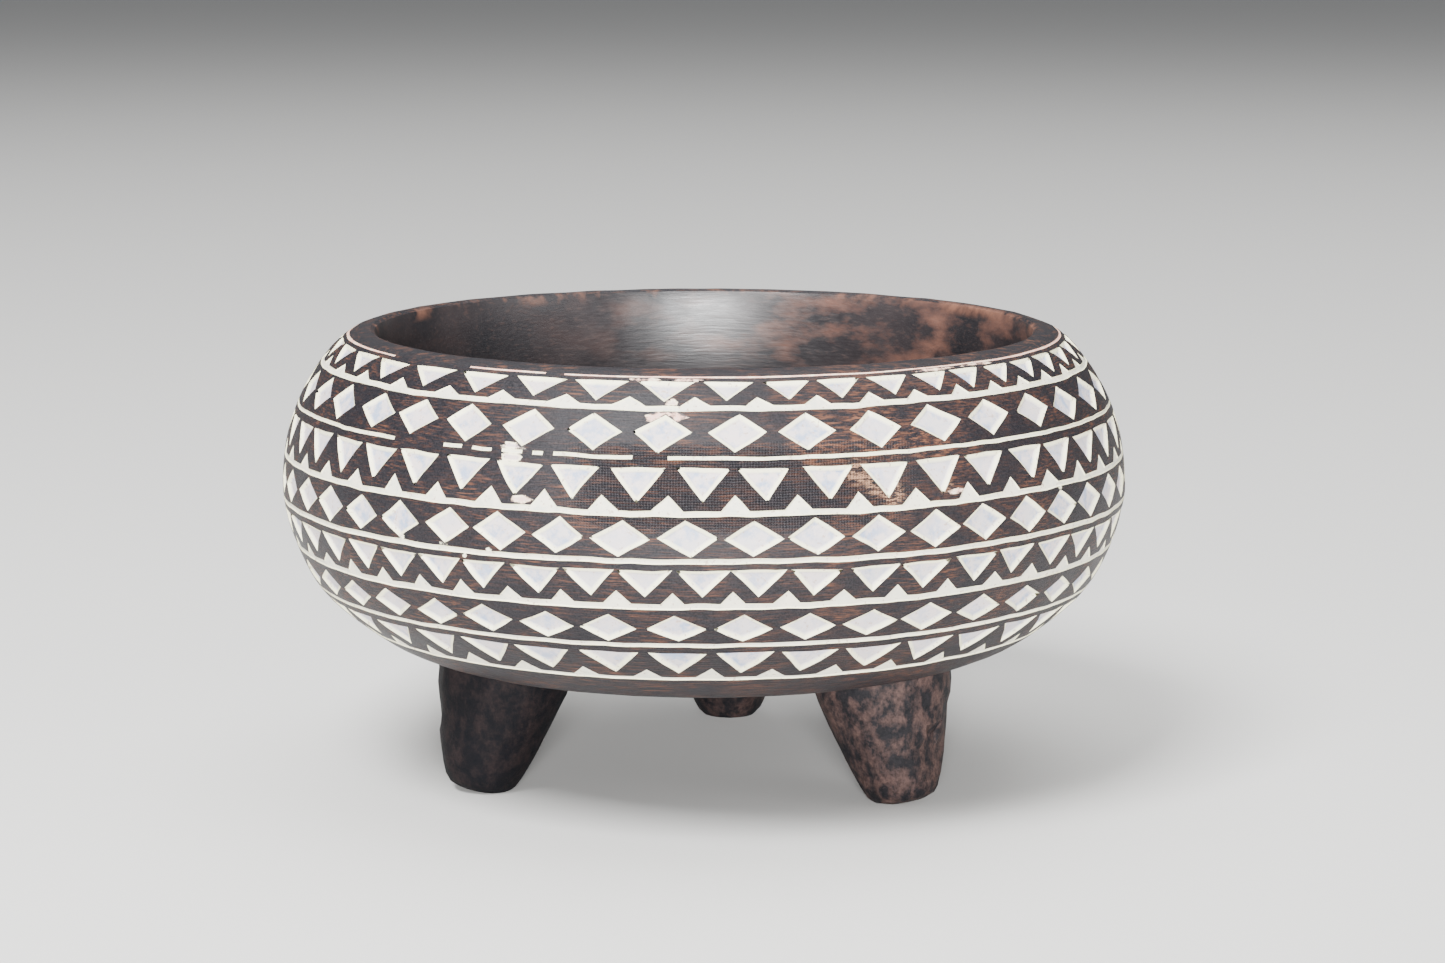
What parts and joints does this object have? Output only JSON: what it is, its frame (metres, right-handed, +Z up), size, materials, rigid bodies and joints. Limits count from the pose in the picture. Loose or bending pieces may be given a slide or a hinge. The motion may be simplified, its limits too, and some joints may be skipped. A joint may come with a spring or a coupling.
{
  "type": "carved wooden bowl",
  "caption": "Round carved wooden bowl on stubby legs; rows of triangles and diamonds between rings are cut into the outside and filled with pale paste. Holds food or small things.",
  "frame": {"origin": "on the ground, under the middle of the bowl", "axes": "+Z up out of the mouth of the bowl, -Y towards the front, +X to the right of someone facing the front"},
  "size_m": [0.18, 0.1798, 0.0962],
  "materials": {
    "dark_wood": "stained very dark brown, satin, with fine orange-brown grain",
    "worn_wood": "rough-hewn, matt, with worn pinkish-brown patches",
    "pale_paste": "chalky, matt, cream at the edges and greyer on the sunken floor"
  },
  "bodies": {
    "root": {"bowl_body": "dark_wood", "left_leg": "worn_wood", "right_leg": "worn_wood", "back_leg": "worn_wood", "rim_line": "pale_paste", "rim_triangles": "pale_paste", "rim_toothed_line": "pale_paste", "shoulder_diamonds": "pale_paste", "shoulder_line": "pale_paste", "shoulder_triangles": "pale_paste", "shoulder_toothed_line": "pale_paste", "belly_diamonds": "pale_paste", "belly_line": "pale_paste", "belly_triangles": "pale_paste", "belly_toothed_line": "pale_paste", "lower_diamonds": "pale_paste", "lower_line": "pale_paste", "base_triangles": "pale_paste", "base_toothed_line": "pale_paste"}
  },
  "joints": []
}
